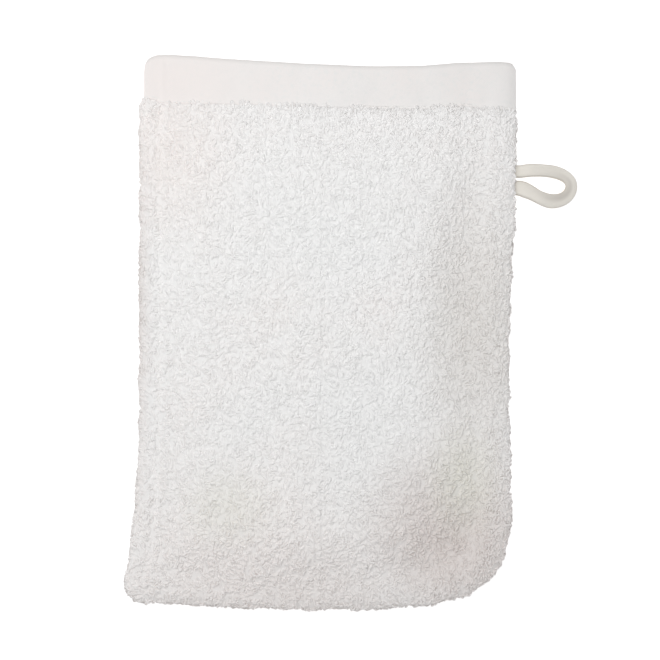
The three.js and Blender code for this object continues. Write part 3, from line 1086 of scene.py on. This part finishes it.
def stitches():
    for half in HALVES:
        row = stitch_row(f"front_stitches_{half}", 1, half)
        on_front(row, half)
        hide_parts("front_hem_stitches")
    row = stitch_row("back_stitches", -1, None)
    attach(row, "mitt")
    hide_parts("back_hem_stitches")


def seam_line_points(step):
    """The sewn part of the base line under the hem: lengths along it, points and outward directions."""
    chosen = (BASE[:, 1] < HEM_LINE - 3 * MM) & (BASE_SEWN > 0.9)
    at = np.arange(BASE_AT[chosen][0], BASE_AT[chosen][-1], step)
    return at, *base_place(at)


def allowance(name, side, node_name, seed):
    """A raw strip of the terry inside the seam, with its own loops."""
    at, plan, out = seam_line_points(1.0 * MM)
    raw = -ALLOWANCE + 0.35 * MM * ripples(at, 0 * at, 7 * MM, seed)
    low, high = 0.15 * MM, 1.5 * MM
    section = [(2.6 * MM, low), (None, low), (None, high), (2.4 * MM, high)]  # None is the raw edge
    rings = []
    for reach, lift in section:
        far = raw if reach is None else np.full(len(at), reach)
        wave = 0.25 * MM * ripples(at, 0 * at + lift, 11 * MM, seed + 1)
        z = MID + side * (lift + (wave if lift > low else 0))
        rings.append(np.column_stack([plan + out * far[:, None], np.broadcast_to(z, len(at))]))
    points = np.stack(rings, axis=1).reshape(-1, 3)
    quads = capped_quads(len(at))
    if side < 0:
        quads = quads[:, ::-1]
    strip = finished(piece_from(name, points, quads), GROUND)
    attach(strip, "mitt")
    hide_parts(node_name)
    draw = np.random.default_rng(seed)
    rows = [(-2.6, 0), (-1.0, 1), (0.6, 0)]  # how far outwards in mm, and which of every two places
    roots, ups = [], []
    for reach, shift in rows:
        chosen, way = plan[shift::2], out[shift::2]
        chosen = chosen + way * (reach + draw.uniform(-0.4, 0.4, (len(chosen), 1))) * MM
        roots.append(np.column_stack([chosen, np.full(len(chosen), MID + side * (high - 0.1 * MM))]))
        ups.append(np.tile([0, 0, float(side)], (len(chosen), 1)))
    for piece in pile_pieces(f"{name}_loops", np.vstack(roots), np.vstack(ups), seed, 0.6):
        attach(piece, "mitt")


def overlock():
    """Thread wrapped round both raw edges, a little aslant."""
    _, plan, out = seam_line_points(2.5 * MM)
    u = np.linspace(-1, 1, 11)
    angle = u * math.pi * WRAP
    reach = -1.2 * MM - 2.5 * MM * np.cos(angle)
    lift = 1.95 * MM * np.sin(angle * 0.8) / math.sin(math.pi * WRAP * 0.8)
    along = np.column_stack([-out[:, 1], out[:, 0]])
    flat = plan[:, None, :] + out[:, None, :] * reach[None, :, None]
    flat = flat + along[:, None, :] * (u[None, :, None] * 0.7 * MM)
    centres = np.concatenate([flat, np.broadcast_to(MID + lift, flat.shape[:2])[:, :, None]], axis=2)
    across = np.column_stack([along, np.zeros(len(along))])
    points, quads = tubes(centres, np.full(centres.shape[:2], THREAD), across)
    piece = finished(piece_from("overlock_thread", points, quads), THREAD_LOOK)
    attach(piece, "mitt")
    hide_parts("seam_thread")


stitches()
allowance("front_allowance", 1, "front_seam_allowance", 61)
allowance("back_allowance", -1, "back_seam_allowance", 71)
overlock()

# ---- Floor and light ----


def add_floor():
    size = 3.0
    points = [(-size, -size, 0), (size, -size, 0), (size, size, 0), (-size, size, 0)]
    floor = piece_from("floor", points, [[0, 1, 2, 3]])
    floor.data.materials.append(floor_material())


def add_area_light(name, location, aim, size, power):
    """A round lamp, which the camera doesn't see from any side."""
    data = bpy.data.lights.new(name, "AREA")
    data.shape = "DISK"
    data.size = size
    data.energy = power
    light = bpy.data.objects.new(name, data)
    light.location = location
    light.visible_camera = False
    light.rotation_euler = (Vector(aim) - Vector(location)).to_track_quat("-Z", "Y").to_euler()
    bpy.context.scene.collection.objects.link(light)


def add_world(level, overhead):
    """A pale room: level light from all round, and more of it from overhead."""
    world = bpy.data.worlds.new("studio")
    world.use_nodes = True
    tree = world.node_tree
    way = tree.nodes.new("ShaderNodeSeparateXYZ")
    tree.links.new(tree.nodes.new("ShaderNodeTexCoord").outputs["Generated"], way.inputs["Vector"])
    upper = maths(tree, "MULTIPLY", maths(tree, "MAXIMUM", way.outputs["Z"], 0.0), overhead)
    tree.links.new(maths(tree, "ADD", upper, level), tree.nodes["Background"].inputs["Strength"])
    tree.nodes["Background"].inputs["Color"].default_value = (1, 1, 1, 1)
    bpy.context.scene.world = world


add_floor()
add_area_light("key", location=(-0.105, 0.13, 0.44), aim=(-0.04, 0.05, 0), size=0.35, power=0.95)
add_world(level=0.19, overhead=0.41)
bpy.context.scene.view_settings.view_transform = "Standard"
bpy.context.scene.view_settings.gamma = 1.25  # keeps the white pile's soft contrast
bpy.context.scene.cycles.diffuse_bounces = 32  # light passes many times between white loops
bpy.context.scene.cycles.max_bounces = 32
